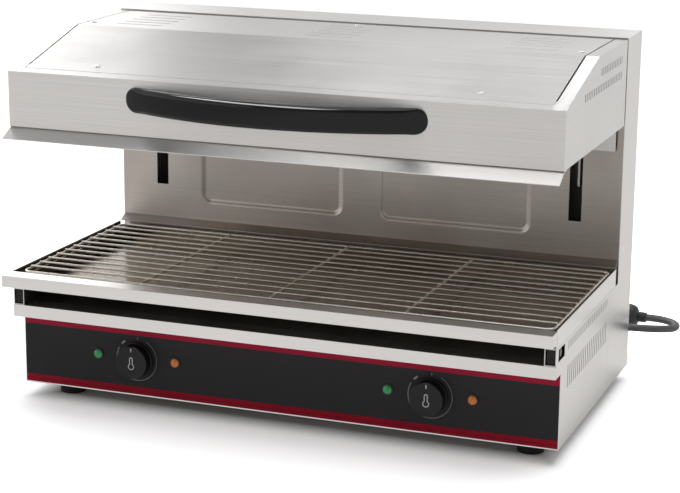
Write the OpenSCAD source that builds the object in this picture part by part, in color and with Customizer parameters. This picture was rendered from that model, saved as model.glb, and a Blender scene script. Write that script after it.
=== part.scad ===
// Cheese melter: a rise-and-fall salamander grill on a louvred base with a rear column.
// Millimetres, +Z up, front towards -Y. The origin lies on the floor, at the middle of the footprint.

/* [Base] */
// Width of the base, the rail and the column
body_w = 795; // [785:5:850]
// Height of the feet
foot_h = 22; // [18:1:38]
// Radius of a foot at the floor
foot_r = 18.5; // [14:0.5:24]
// Distance of the feet's axes from the base's sides
foot_in = 50.5; // [30:0.5:90]
// Front feet: distance ahead of the column's front face
foot_ahead = 275; // [240:1:290]
// Rear feet: distance behind the column's front face
foot_behind = 40; // [25:1:55]
// Height of the control panel
panel_h = 106.5; // [90:0.5:120]
// Control panel: distance ahead of the column's front face
panel_reach = 324; // [300:1:335]
// Height of the bright rail above the control panel
rail_h = 17.5; // [12:0.5:24]
// How far the rail stands out over the control panel
rail_out = 30; // [16:1:40]
// Thickness of the folded steel sheet
sheet_t = 1.2; // [0.8:0.1:1.6]
// Base sides end and column sides start this far ahead of the column's front face
seam_ahead = 50; // [40:1:60]
// Width of the seam between the base side and the column side
seam_gap = 0.6; // [0.4:0.1:1]

/* [Louvres] */
// Pitch of the slots in the base sides
base_slot_pitch = 11; // [9:0.5:12]
// Width of every louvre slot
slot_w = 3.4; // [2:0.2:4]
// Number of slots in each row of a base side
base_slots = 21; // [10:1:21]
// Height of the slots in the lower row of a base side
base_slot_h = 31; // [20:1:34]
// Height of the slots in the upper row of a base side
upper_slot_h = 12; // [6:1:12]
// Pitch of the slots in the hood sides
hood_slot_pitch = 10; // [8:0.5:11]
// Height of the slots in the hood sides
hood_slot_h = 10.5; // [6:0.5:12]
// Number of slots in the long row of a hood side
hood_slots = 22; // [12:1:22]
// Length of the slots in the hood's top
top_slot_l = 74; // [50:1:90]
// Pitch of the slots in the hood's top
top_slot_pitch = 26; // [22:1:28]
// Number of slots in each group in the hood's top
top_slots = 5; // [3:1:5]

/* [Controls] */
// Distance of each knob from the middle plane
knob_x = 218.5; // [190:0.5:240]
// Height of the knob's axis above the panel's lower edge
knob_up = 54; // [40:1:60]
// Radius of a knob
knob_r = 24; // [18:0.5:28]
// Depth of a knob
knob_d = 18; // [14:0.5:28]
// Distance of each lamp from its knob's axis
lamp_off = 60; // [45:1:70]
// Radius of a lamp's lens
lens_r = 6; // [4:0.5:8]

/* [Column] */
// Depth of the column
column_d = 88; // [84:1:110]
// Distance of each lift slot's middle from the column's side
lift_in = 68; // [63.5:0.5:77]
// Width of a lift slot
lift_slot_w = 19; // [16:0.5:22]
// Half the plain strip between the two embossed fields
field_in = 33; // [20:1:60]
// Distance of an embossed field's outer edge from the middle plane
field_out = 260; // [220:1:280]
// Depth of the embossed fields
field_d = 2.5; // [1.5:0.5:4]

/* [Tray and grid] */
// How far the tray's front bar stands out past the base at each side
bar_over = 1.5; // [0:0.5:5]
// Front bar: how far it stands out over the rail
bar_out = 29; // [28:1:40]
// Height of the front bar
bar_h = 17; // [14:0.5:20]
// Depth of the front bar's flat top
bar_top_d = 26; // [20:1:27]
// Height of the open bay under the tray
bay_h = 24; // [18:1:30]
// Height of the tray
tray_h = 25.5; // [22:0.5:32]
// Space between the tray and the column's front face
tray_back_gap = 16; // [14:1:30]
// Radius of the grid's frame rod
frame_rod_r = 2.2; // [2:0.1:3.5]
// Radius of the grid's cross rods
cross_rod_r = 1.6; // [1.4:0.1:2.5]
// Number of cross rods
cross_rods = 11; // [7:1:13]
// Distance between the bars under the cross rods
stay_pitch = 195; // [150:5:200]

/* [Hood] */
// How far the hood stands out past the base at each side
hood_over = 0; // [0:0.5:20]
// Clear height between the tray and the raised hood
cook_h = 208; // [190:1:240]
// Height of the hood
hood_h = 122.5; // [115:0.5:140]
// Height of the hood's upright front face
hood_face_h = 77.5; // [60:0.5:85]
// Hood front: distance ahead of the column's front face
hood_reach = 350; // [335:1:360]
// Top crease of the hood's slope: distance ahead of the column's front face
crease_reach = 177; // [150:1:200]
// Gap between the hood and the column
hood_gap = 6; // [4.5:0.5:7]
// Width of the side flanges around the top cover
flange_w = 18; // [12:1:24]
// Width of the strip in front of the top cover
strip_w = 15; // [10:1:20]
// Gap between the top cover and the side flanges
cover_gap = 2.5; // [1:0.5:4]
// How far the hood's rear apron hangs below it
apron_h = 38.5; // [25:0.5:50]
// How far the hood comes down
lift_travel = 130; // [80:5:130]
// How far the front deflector stands out ahead of the hood
lip_out = 21; // [12:1:26]
// How far the front deflector drops below the hood
lip_drop = 15; // [10:1:20]

/* [Handle] */
// Length of the handle
handle_l = 432; // [360:2:460]
// How far the handle bows out ahead of the hood
handle_bow = 54; // [45:1:62]
// Height of the handle's grip
handle_h = 35; // [28:1:40]
// Thickness of the handle's grip
handle_t = 16; // [15:1:20]

/* [Heating] */
// Radius of a heating element's tube
element_r = 4; // [3:0.25:5]
// Radius of the element's bends
element_bend = 42; // [36:1:44]
// Thickness of the insulation above the reflector
wool_t = 25; // [15:1:30]

/* [Power cord] */
// Radius of the power cord
cord_r = 5.5; // [4:0.25:5.5]

/* [Hidden] */

$fn = 48;
eps = 0.01;                       // overlap of pieces that are joined
over = 1;                         // overshoot of a cut
fit = 0.05;                       // radial clearance of a sliding or turning fit
seat = 0.02;                      // radial clearance of a fixed pin in its seat
slide_gap = 0.3;                  // air between pieces that slide past each other

screw_head_r = 4;
screw_head_h = 1.6;
screw_r = 1.9;
screw_l = 6;

// Places along Y, from the column's front face
rear_reach = column_d + screw_head_h;
col_y = (hood_reach + handle_bow - rear_reach) / 2;
function ahead(d) = col_y - d;
function behind(d) = col_y + d;

// Places along X
body_x = body_w / 2;
inner_x = body_x - sheet_t;
hood_x = body_x + hood_over;
foot_x = body_x - foot_in;
lift_x = body_x - lift_in;

// Levels along Z
panel_top = foot_h + panel_h;
rail_top = panel_top + rail_h;
tray_z = rail_top + bay_h;
tray_top = tray_z + tray_h;
hood_z = tray_top + cook_h;
hood_top = hood_z + hood_h;
face_top = hood_z + hood_face_h;
column_over = 2;                  // the column stands this far above the raised hood
column_top = hood_top + column_over;
side_top = tray_z - slide_gap;    // top of the base's sides and of the tray's runners

// Places of the controls
rail_reach = panel_reach + rail_out;
overlay_t = 0.5;
overlay_y = ahead(panel_reach + overlay_t);
knob_z = foot_h + knob_up;
lamp_z = knob_z + 2;              // the lamps sit a little above the knobs' axes
spindle_r = 3;
bush_r = 4.8;
bush_gap = 0.2;                   // air around a thermostat's bush in the panel
knob_gap = 1;                     // air between a knob and the panel

steel = [0.78, 0.77, 0.75];
dark = [0.13, 0.13, 0.13];
black = [0.06, 0.06, 0.06];
zinc = [0.66, 0.67, 0.68];

// The ends v of a stretch, counted from the place c
function at(c, v) = [c + v[0], c + v[1]];

// A box between two corners
module block(x, y, z) {
    translate([x[0], y[0], z[0]]) cube([x[1] - x[0], y[1] - y[0], z[1] - z[0]]);
}

// An outline in Y and Z, drawn out along X between x[0] and x[1]
module along_x(x, outline) {
    translate([x[0], 0, 0]) rotate([90, 0, 90]) linear_extrude(x[1] - x[0]) polygon(outline);
}

// A cylinder whose axis runs along Y from y[0] to y[1]
module rod_y(x, z, r, y) {
    translate([x, y[0], z]) rotate([-90, 0, 0]) cylinder(r = r, h = y[1] - y[0]);
}

// A cylinder whose axis runs along X from x[0] to x[1]
module rod_x(y, z, r, x) {
    translate([x[0], y, z]) rotate([0, 90, 0]) cylinder(r = r, h = x[1] - x[0]);
}

// A cylinder whose axis runs along Z from z[0] to z[1]
module rod_z(x, y, r, z) {
    translate([x, y, z[0]]) cylinder(r = r, h = z[1] - z[0]);
}

// The children and their mirror image across the middle plane
module both_sides() {
    children();
    mirror([1, 0, 0]) children();
}

// The children on the left, made from their right-hand form
module left_side() { mirror([1, 0, 0]) children(); }

// A rounded rectangle with exact corner arcs, centred on the origin
module round_rect(w, h, r) {
    square([w - 2 * r, h], center = true);
    square([w, h - 2 * r], center = true);
    for (sx = [-1, 1], sy = [-1, 1]) translate([sx * (w / 2 - r), sy * (h / 2 - r)]) circle(r);
}

// Upright slots through a side wall at x = wall_x, from y0 backwards
module side_slots(wall_x, y0, z0, count, pitch, h) {
    for (i = [0:count - 1])
        block([wall_x - sheet_t - over, wall_x + over], at(y0 + i * pitch, [0, slot_w]), at(z0, [0, h]));
}

// ---------------------------------------------------------------- base

floor_holes = [for (sx = [-1, 1], y = [ahead(foot_ahead), behind(foot_behind)]) [sx * foot_x, y]];
foot_bolt_r = 4;
foot_bolt_up = 9;                 // how far a foot's bolt stands up into the base
foot_bolt_head_r = 7;
foot_bolt_head_h = 5;
foot_recess = 9;                  // depth of the recess under a foot
foot_recess_r = 8;
foot_flare = 2;

module base_floor() {
    color(steel) difference() {
        block([-inner_x, inner_x], [ahead(panel_reach) + sheet_t, behind(column_d) - sheet_t],
            [foot_h, foot_h + sheet_t]);
        for (p = floor_holes) rod_z(p.x, p.y, foot_bolt_r + seat, [foot_h - over, foot_h + sheet_t + over]);
    }
}

module feet() {
    color(black) for (p = floor_holes) difference() {
        translate([p.x, p.y, 0]) cylinder(r1 = foot_r, r2 = foot_r + foot_flare, h = foot_h);
        rod_z(p.x, p.y, foot_bolt_r + seat, [-over, foot_h + over]);
        rod_z(p.x, p.y, foot_recess_r, [-over, foot_recess]);
    }
}

module foot_screws() {
    color(zinc) for (p = floor_holes) {
        rod_z(p.x, p.y, foot_bolt_r, [foot_recess - eps, foot_h + sheet_t + foot_bolt_up]);
        rod_z(p.x, p.y, foot_bolt_head_r, [foot_recess - foot_bolt_head_h, foot_recess]);
        rod_z(p.x, p.y, foot_bolt_head_r, [foot_h + sheet_t, foot_h + sheet_t + foot_bolt_head_h]);
    }
}

row_ahead = 289;                  // first louvre slot, ahead of the column's front face
lower_row_up = 77;                // the lower row of slots above the panel's lower edge
lower_row_z = foot_h + lower_row_up;
upper_row_up = 6.5;                 // the upper row of slots above the rail
upper_row_z = rail_top + upper_row_up;
window_l = 34;                    // window at the front of the base side, beside the runner
window_h = 17;
window_up = 3;
window_back = 12;                 // how far the window lies behind the rail's face

module base_side() {
    y_seam = ahead(seam_ahead) - seam_gap;
    color(steel) difference() {
        along_x([inner_x, body_x], [
            [ahead(panel_reach) + sheet_t, foot_h], [ahead(panel_reach) + sheet_t, panel_top],
            [ahead(rail_reach) + sheet_t, panel_top], [ahead(rail_reach) + sheet_t, side_top],
            [y_seam, side_top], [y_seam, foot_h]]);
        side_slots(body_x, ahead(row_ahead), lower_row_z, base_slots, base_slot_pitch, base_slot_h);
        side_slots(body_x, ahead(row_ahead), upper_row_z, base_slots, base_slot_pitch, upper_slot_h);
        block([inner_x - over, body_x + over], at(ahead(rail_reach - window_back), [0, window_l]),
            at(rail_top + window_up, [0, window_h]));
    }
}

module base_side_left() { left_side() base_side(); }
module base_side_right() { base_side(); }

// Holes in the panel for the lamps and the thermostats' bushes
module control_holes(y) {
    for (sx = [-1, 1]) {
        rod_y(sx * knob_x, knob_z, bush_r + bush_gap, y);
        for (sl = [-1, 1]) rod_y(sx * knob_x + sl * lamp_off, lamp_z, lamp_neck_r + seat, y);
    }
}

module control_panel() {
    y = [ahead(panel_reach), ahead(panel_reach) + sheet_t];
    color(steel) difference() {
        block([-body_x, body_x], y, [foot_h, panel_top]);
        control_holes(y + [-over, over]);
    }
}

overlay_edge = 2;                 // bare steel below the overlay

module panel_overlay() {
    y = [overlay_y, ahead(panel_reach)];
    color(dark) difference() {
        block([-inner_x, inner_x], y, [foot_h + overlay_edge, panel_top - seat]);
        control_holes(y + [-over, over]);
    }
}

module front_rail() {
    y0 = ahead(rail_reach);
    y1 = ahead(panel_reach);
    color(steel) union() {
        block([-body_x, body_x], [y0, y0 + sheet_t], [panel_top, rail_top]);
        for (z = [panel_top, rail_top - sheet_t])
            block([-inner_x, inner_x], [y0 + eps, y1], at(z, [0, sheet_t]));
    }
}

module deck_plate() {
    color(black) block([-inner_x, inner_x], [ahead(panel_reach), ahead(0)], [rail_top - sheet_t, rail_top]);
}

runner_w = 15;

module tray_runner() {
    x = [inner_x - runner_w, inner_x];
    y = [ahead(rail_reach) + sheet_t, ahead(tray_back_gap)];
    color(steel) difference() {
        block(x, y, [rail_top, side_top]);
        block(x + [sheet_t, over], y + [-over, over], [rail_top + sheet_t, side_top - sheet_t]);
    }
}

module tray_runner_left() { left_side() tray_runner(); }
module tray_runner_right() { tray_runner(); }

// ---------------------------------------------------------------- controls

bezel_r = lens_r + 2;
bezel_h = 1.6;
lamp_neck_r = lens_r - 1;
lamp_bore_r = lens_r - 2;
lamp_body_d = 18;
lamp_end_t = 2;                   // thickness of the closed rear end of a lamp's body
lens_h = 3.5;

lamp_places = [for (sx = [-1, 1], sl = [-1, 1]) sx * knob_x + sl * lamp_off];

module lamp_bezels() {
    color(dark) for (x = lamp_places) difference() {
        union() {
            rod_y(x, lamp_z, bezel_r, [overlay_y - bezel_h, overlay_y]);
            rod_y(x, lamp_z, lamp_neck_r, [overlay_y - eps, overlay_y + lamp_body_d]);
        }
        rod_y(x, lamp_z, lamp_bore_r, [overlay_y - bezel_h - over, overlay_y + lamp_body_d - lamp_end_t]);
    }
}

// A domed lens in front of its bezel, with its light guide in the bezel's bore
module lens(x) {
    y = overlay_y - bezel_h;
    intersection() {
        rod_y(x, lamp_z, lens_r, [y - lens_h, y]);
        translate([x, y + lens_r, lamp_z]) sphere(r = lens_r + lens_h);
    }
    rod_y(x, lamp_z, lamp_bore_r - seat, [y - eps, y + lamp_body_d / 2]);
}

module power_lamp_lenses() { color([0.0, 0.55, 0.2]) for (sx = [-1, 1]) lens(sx * knob_x - lamp_off); }
module heat_lamp_lenses() { color([0.85, 0.4, 0.05]) for (sx = [-1, 1]) lens(sx * knob_x + lamp_off); }

stat_w = 40;                      // width and height of a thermostat
stat_d = 34;                      // depth of a thermostat
spindle_in = 14;                  // how far the spindle goes into the thermostat
tab_w = 6;                        // contact tabs behind a thermostat
tab_t = 2;
tab_l = 8;

module thermostat(x) {
    y0 = ahead(panel_reach) + sheet_t;
    color([0.85, 0.83, 0.78]) difference() {
        union() {
            block(at(x, [-stat_w / 2, stat_w / 2]), at(y0, [0, stat_d]),
                at(knob_z, [-stat_w / 2, stat_w / 2]));
            rod_y(x, knob_z, bush_r, [overlay_y, y0 + eps]);
            for (sx = [-1, 1]) block(at(x + sx * stat_w / 4, [-tab_w / 2, tab_w / 2]),
                at(y0 + stat_d, [-eps, tab_l]), at(knob_z, [-tab_t / 2, tab_t / 2]));
        }
        rod_y(x, knob_z, spindle_r + fit, [overlay_y - over, y0 + spindle_in + slide_gap]);
    }
}

module thermostat_left() { thermostat(-knob_x); }
module thermostat_right() { thermostat(knob_x); }

module knob_spindle(x) {
    color(zinc) rod_y(x, knob_z, spindle_r,
        [overlay_y - knob_gap - knob_bore_l, ahead(panel_reach) + sheet_t + spindle_in]);
}

module knob_spindle_left() { knob_spindle(-knob_x); }
module knob_spindle_right() { knob_spindle(knob_x); }

knob_edge = 3;                    // radius of the knob's rounded front edge
knob_skirt_h = 4;
knob_skirt_r = 1.5;               // how far the skirt stands out
knob_cap = 6;                     // thickness of the knob in front of its bore
knob_bore_l = knob_d - knob_cap;

// A knob turned about its axis: a skirt, a grip with a rounded front edge and a blind bore
module knob(x) {
    color(black) translate([x, overlay_y - knob_gap, knob_z]) rotate([90, 0, 0]) difference() {
        rotate_extrude($fn = 96) union() {
            square([knob_r + knob_skirt_r, knob_skirt_h]);
            square([knob_r, knob_d - knob_edge]);
            square([knob_r - knob_edge, knob_d]);
            translate([knob_r - knob_edge, knob_d - knob_edge]) circle(knob_edge);
        }
        translate([0, 0, -over]) cylinder(r = spindle_r + seat, h = knob_bore_l + over);
    }
}

module knob_left() { knob(-knob_x); }
module knob_right() { knob(knob_x); }

ways = 5;                         // number of ways of the terminal block
way_pitch = 18;
block_d = 24;
block_h = 20;
block_behind = 12;
way_r = 3;
way_depth = 8;

module terminal_block() {
    x0 = strut_x - strut_r - over - ways * way_pitch;
    y0 = behind(block_behind);
    color([0.9, 0.88, 0.8]) difference() {
        block([x0, x0 + ways * way_pitch], at(y0, [0, block_d]), at(lift_floor, [0, block_h]));
        for (i = [0:ways - 1])
            rod_z(x0 + (i + 0.5) * way_pitch, y0 + block_d / 2, way_r,
                at(lift_floor + block_h, [-way_depth, over]));
    }
}

// ---------------------------------------------------------------- column

arm_up = 20;                      // the arms are bolted to the hood from here up
arm_h = 65;
arm_z = [hood_z + arm_up, hood_z + arm_up + arm_h];
slot_up = 61.5;                   // from the tray's top to the lower end of a lift slot
slot_over = 3;                    // a lift slot reaches this far above its raised arm
lift_slot_z = [tray_top + slot_up, arm_z[1] + slot_over];
field_up = 39.5;                  // from the tray's top to the embossed fields
field_down = 63;
field_z = [tray_top + field_up, column_top - field_down];
foot_gap = 1.5;                   // the sloping foot ends this far above the tray's top
field_corner = 12;
cove_up = 9.5;                    // height of the sloping foot of the column's front
cove_out = tray_back_gap - 1;

// One embossed field: its outline in X and Z, drawn out along Y
module field(grow, y) {
    w = field_out - field_in + 2 * grow;
    h = field_z[1] - field_z[0] + 2 * grow;
    translate([(field_out + field_in) / 2, y[1], (field_z[0] + field_z[1]) / 2])
        rotate([90, 0, 0]) linear_extrude(y[1] - y[0]) round_rect(w, h, field_corner + grow);
}

module column_front_panel() {
    y = [ahead(0), behind(sheet_t)];
    foot_z = tray_top + cove_up;
    color(steel) difference() {
        union() {
            block([-inner_x, inner_x], y, [rail_top, column_top - sheet_t]);
            both_sides() field(sheet_t, [y[0] + eps, y[1] + field_d]);
            along_x([-inner_x, inner_x], [[y[0] + eps, foot_z], [y[0] - cove_out, tray_top + foot_gap],
                [y[0] - cove_out, tray_top + foot_gap - sheet_t], [y[0] + eps, foot_z - 1.5 * sheet_t]]);
        }
        both_sides() field(0, [y[0] - over, y[0] + field_d]);
        both_sides() block(at(lift_x, [-lift_slot_w / 2, lift_slot_w / 2]), y + [-over, over], lift_slot_z);
    }
}

rear_flange = 14;

module column_side() {
    y_seam = ahead(seam_ahead);
    y_rear = behind(column_d) - sheet_t;
    color(steel) union() {
        along_x([inner_x, body_x], [[y_seam, foot_h], [y_seam, side_top], [ahead(0), side_top],
            [ahead(0), column_top], [behind(column_d), column_top], [behind(column_d), foot_h]]);
        block([inner_x - rear_flange, inner_x + eps], [y_rear - sheet_t, y_rear],
            [foot_h + sheet_t, column_top - sheet_t]);
    }
}

module column_side_left() { left_side() column_side(); }
module column_side_right() { column_side(); }

module column_top_cap() {
    color(steel) block([-inner_x, inner_x], [ahead(0), behind(column_d)], [column_top - sheet_t, column_top]);
}

gland_x = 366;
gland_z = 50;
gland_wall = 4;                   // thickness of the gland around the cord
gland_bore = cord_r + gland_wall;
back_slots = 9;                   // louvre slots in each group of the back cover
back_slot_l = 60;
back_slot_pitch = 14;
back_groups = [-230, 0, 230];
back_slots_down = 63;
screw_rows = 4;
screw_inset = 8;
screw_end = 60;                   // from an end of the cover to its first and last screw
screw_pitch = (column_top - foot_h - 2 * screw_end) / (screw_rows - 1);
back_screws = [for (sx = [-1, 1], i = [0:screw_rows - 1])
    [sx * (inner_x - screw_inset), foot_h + screw_end + i * screw_pitch]];

module column_back_cover() {
    y = [behind(column_d) - sheet_t, behind(column_d)];
    color(steel) difference() {
        block([-inner_x, inner_x], y, [foot_h, column_top - sheet_t]);
        for (x = back_groups, i = [0:back_slots - 1])
            block(at(x, [-back_slot_l / 2, back_slot_l / 2]), y + [-over, over],
                at(column_top - back_slots_down - i * back_slot_pitch, [-slot_w, 0]));
        rod_y(gland_x, gland_z, gland_bore, y + [-over, over]);
        for (p = back_screws) rod_y(p[0], p[1], screw_r + seat, y + [-over, over]);
    }
}

module back_cover_screws() {
    color(zinc) for (p = back_screws) {
        rod_y(p[0], p[1], screw_head_r, [behind(column_d), behind(column_d) + screw_head_h]);
        rod_y(p[0], p[1], screw_r, [behind(column_d) - sheet_t, behind(column_d) + eps]);
    }
}

// ---------------------------------------------------------------- lift

guide_in = 34.3;                  // from the column's sides to the guide rods
guide_x = inner_x - guide_in;
rod_r = 6;
strut_in = 62;                    // from the guide rods to the gas struts
strut_x = guide_x - strut_in;
lift_behind = 45;                 // rods and struts stand this far behind the column's front
lift_y = behind(lift_behind);
bracket_w = 28;
bracket_h = 14;
bolt_clear = 5;
bracket_up = foot_bolt_up + bolt_clear;   // the lower brackets clear the bolts of the rear feet
rod_seat = 3;                     // thickness of a bracket beyond the end of its rod
lift_floor = foot_h + sheet_t;
lift_ceiling = column_top - sheet_t;
rod_ends = [lift_floor + bracket_up + rod_seat, lift_ceiling - rod_seat];

module guide_rods() {
    color(zinc) both_sides() rod_z(guide_x, lift_y, rod_r, rod_ends);
}

module guide_rod_brackets() {
    color(steel) both_sides() difference() {
        for (z = [lift_floor + bracket_up, lift_ceiling - bracket_h])
            block([guide_x - bracket_w / 2, inner_x], at(lift_y, [-bracket_w / 2, bracket_w / 2]),
                at(z, [0, bracket_h]));
        rod_z(guide_x, lift_y, rod_r + seat, rod_ends);
    }
}

strut_r = 9;
strut_wall = 1.4;
strut_rod_r = 4;
arm_t = 3;
lug_top = arm_z[1];
strut_drop = 70;                  // length of strut rod that stays out with the hood down
strut_top = lug_top - arm_t - lift_travel - strut_drop;
strut_end_t = 4;                  // thickness of a strut's closed ends
collar_h = 4;
piston_h = 10;
piston_top = strut_top - strut_end_t - 2;

module strut_cylinders() {
    color(black) both_sides() difference() {
        rod_z(strut_x, lift_y, strut_r, [lift_floor, strut_top]);
        rod_z(strut_x, lift_y, strut_r - strut_wall, [lift_floor + strut_end_t, strut_top - strut_end_t]);
        rod_z(strut_x, lift_y, strut_rod_r + fit, [strut_top - strut_end_t - over, strut_top + over]);
    }
}

module strut_rods() {
    color(zinc) both_sides() {
        rod_z(strut_x, lift_y, strut_rod_r, [piston_top - piston_h + eps, lug_top + collar_h]);
        rod_z(strut_x, lift_y, strut_r - strut_wall - slide_gap, [piston_top - piston_h, piston_top]);
        rod_z(strut_x, lift_y, strut_rod_r + 3, [lug_top, lug_top + collar_h]);
    }
}

arm_x = lift_x + 1.5;             // the arms run a little outside the middle of the slots
arm_back = 20;                    // how far an arm reaches behind the column's front face
tail_up = 51;                     // the arms' tails end this far above the slots' lower ends
tail_z = lift_slot_z[0] + tail_up;
tail_front = 4;
arm_flange_w = 36;

module lift_arm() {
    color(steel) union() {
        along_x([arm_x, arm_x + arm_t], [[ahead(hood_gap), arm_z[1]], [behind(arm_back), arm_z[1]],
            [behind(arm_back), tail_z], [behind(tail_front), tail_z], [behind(tail_front), arm_z[0]],
            [ahead(hood_gap), arm_z[0]]]);
        block([arm_x - arm_flange_w, arm_x + eps], [ahead(hood_gap), ahead(hood_gap) + arm_t], arm_z);
    }
}

module lift_arm_left() { left_side() lift_arm(); }
module lift_arm_right() { lift_arm(); }

lug_d = 40;
lug_edge = 14;                    // from a guide rod or strut to the edge of its lug
lug_fold = 12;                    // height of the fold under the upper lug
plate_edge = 8;
plate_h = 130;
plate_x = [arm_x - plate_edge, guide_x + lug_edge];
plate_z = [lug_top - plate_h, lug_top];
bush_flange_r = 11;
bush_flange_t = 3;
bush_body_r = 8;
bush_l = 14;
cross_bar_h = 30;
cross_bar_down = 32;

module carriage() {
    y_plate = behind(arm_back);
    y_lug = [y_plate + arm_t - eps, y_plate + arm_t + lug_d];
    color(zinc) difference() {
        union() {
            block(plate_x, at(y_plate, [0, arm_t]), plate_z);
            block([strut_x - lug_edge, plate_x[1]], y_lug, at(lug_top, [-arm_t, 0]));
            block([strut_x - lug_edge, plate_x[1]], at(y_plate, [0, arm_t]),
                at(lug_top, [-arm_t - lug_fold, 0]));
            block([guide_x - lug_edge, plate_x[1]], y_lug, at(plate_z[0], [0, arm_t]));
        }
        rod_z(guide_x, lift_y, bush_body_r + seat, [plate_z[0] - over, plate_z[1] + over]);
        rod_z(strut_x, lift_y, strut_rod_r + seat, [lug_top - arm_t - over, lug_top + over]);
    }
}

module carriage_left() { left_side() carriage(); }
module carriage_right() { carriage(); }

module carriage_bar() {
    y0 = behind(arm_back) + arm_t;
    color(zinc) block([-arm_x, arm_x], [y0, y0 + arm_t], at(lug_top - cross_bar_down, [-cross_bar_h, 0]));
}

module guide_bushes() {
    color([0.72, 0.55, 0.3]) both_sides() for (z = [lug_top, plate_z[0] + arm_t]) difference() {
        union() {
            rod_z(guide_x, lift_y, bush_flange_r, [z, z + bush_flange_t]);
            rod_z(guide_x, lift_y, bush_body_r, [z - bush_l, z + eps]);
        }
        rod_z(guide_x, lift_y, rod_r + fit, [z - bush_l - over, z + bush_flange_t + over]);
    }
}

// ---------------------------------------------------------------- hood

hood_front = ahead(hood_reach);
hood_rear = ahead(hood_gap);
crease_y = ahead(crease_reach);
slope_len = norm([crease_y - hood_front, hood_top - face_top]);
slope_dir = [crease_y - hood_front, hood_top - face_top] / slope_len;
slope_n = [-slope_dir[1], slope_dir[0]];
face_corner = [hood_front, face_top];
crease = [crease_y, hood_top];

// A point on the slope, a distance s up from its front edge and d below the surface
function on_slope(s, d) = face_corner + s * slope_dir - d * slope_n;
crease_drop = (1 - slope_dir[0]) / slope_dir[1];

// A folded strip under the slope and the top, from s0 on the slope to y1 on the top, between two depths
function fold(s0, y1, d0, d1) = [on_slope(s0, d0), crease + [d0 * crease_drop, -d0], [y1, hood_top - d0],
    [y1, hood_top - d1], crease + [d1 * crease_drop, -d1], on_slope(s0, d1)];

rim_w = 12;                       // width of the folded rim around the hood's open underside
long_row_down = 50.25;               // from the hood's top to the foot of each row of slots
short_row_down = 28.75;
long_row_z = hood_top - long_row_down;
short_row_z = hood_top - short_row_down;
short_fewer = 9;                  // the short row has this many slots fewer than the long one
short_slots = hood_slots - short_fewer;
side_slots_ahead = 37;
side_slots_end = ahead(side_slots_ahead);

// Where a row of slots with a number of slots in the hood's side begins
function row_start(count) = side_slots_end - (count - 1) * hood_slot_pitch - slot_w;

module hood_shell() {
    t = sheet_t;
    color(steel) difference() {
        union() {
            both_sides() along_x([hood_x - t, hood_x], [[hood_front, hood_z], face_corner, crease,
                [hood_rear, hood_top], [hood_rear, hood_z]]);
            block([-hood_x + eps, hood_x - eps], [hood_front, hood_front + t], [hood_z, face_top]);
            both_sides() along_x([hood_x - flange_w, hood_x - eps], fold(0, hood_rear, 0, t));
            along_x([-hood_x + eps, hood_x - eps], [on_slope(0, 0), on_slope(strip_w, 0),
                on_slope(strip_w, t), on_slope(2 * strip_w, t), on_slope(2 * strip_w, 2 * t),
                on_slope(0, 2 * t)]);
            both_sides() block([hood_x - rim_w, hood_x - eps], [hood_front + eps, hood_rear - t],
                at(hood_z, [0, t]));
            block([-hood_x + rim_w - eps, hood_x - rim_w + eps], at(hood_front, [eps, rim_w]),
                at(hood_z, [0, t]));
        }
        both_sides() {
            side_slots(hood_x, row_start(hood_slots), long_row_z, hood_slots, hood_slot_pitch, hood_slot_h);
            side_slots(hood_x, row_start(short_slots), short_row_z, short_slots, hood_slot_pitch,
                hood_slot_h);
        }
        for (p = handle_screw_places) rod_y(p[0], p[1], screw_r + seat, at(hood_front, [-over, t + over]));
    }
}

cover_x = hood_x - flange_w - cover_gap;
cover_lip = 8;                    // depth of the lips at the top cover's sides
strip_gap = 1;                    // gap between the front strip and the top cover
group_in = 82;                    // from the cover's side to the middle of an outer group of slots
group_x = cover_x - group_in;
top_slots_ahead = 38.5;
top_slots_back = ahead(top_slots_ahead);
side_screw_in = 11;
side_screw_x = cover_x - side_screw_in;
cover_screw_places = [[-side_screw_x, 150], [0, 23], [side_screw_x, 150]];
slope_screw_in = 101;
slope_screw_x = cover_x - slope_screw_in;
slope_screw_up = 21;
slope_screw_s = strip_w + slope_screw_up;

module hood_top_cover() {
    color(steel) difference() {
        union() {
            along_x([-cover_x, cover_x], fold(strip_w + strip_gap, hood_rear - sheet_t, 0, sheet_t));
            both_sides() along_x([cover_x - sheet_t, cover_x - eps],
                fold(2 * strip_w + slide_gap, hood_rear - sheet_t, 0, cover_lip));
        }
        for (x = [-group_x, 0, group_x], i = [0:top_slots - 1])
            block(at(x, [-top_slot_l / 2, top_slot_l / 2]),
                at(top_slots_back - i * top_slot_pitch, [-slot_w, 0]), at(hood_top, [-sheet_t - over, over]));
        for (p = cover_screw_places)
            rod_z(p[0], ahead(p[1]), screw_r + seat, at(hood_top, [-sheet_t - over, over]));
        both_sides() slope_screw(slope_screw_x, screw_r + seat, [-sheet_t - over, over]);
    }
}

// A cylinder square to the slope, between depths d[0] and d[1] above it
module slope_screw(x, r, d) {
    p = on_slope(slope_screw_s, 0);
    translate([x, p[0], p[1]]) rotate([atan2(slope_dir[1], slope_dir[0]), 0, 0])
        translate([0, 0, d[0]]) cylinder(r = r, h = d[1] - d[0]);
}

module cover_screws() {
    color(zinc) {
        for (p = cover_screw_places) {
            rod_z(p[0], ahead(p[1]), screw_head_r, at(hood_top, [0, screw_head_h]));
            rod_z(p[0], ahead(p[1]), screw_r, at(hood_top, [-screw_l, eps]));
        }
        both_sides() {
            slope_screw(slope_screw_x, screw_head_r, [0, screw_head_h]);
            slope_screw(slope_screw_x, screw_r, [-sheet_t, eps]);
        }
    }
}

apron_in = 11;                    // how far the apron's ends stay inside the hood's sides

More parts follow.
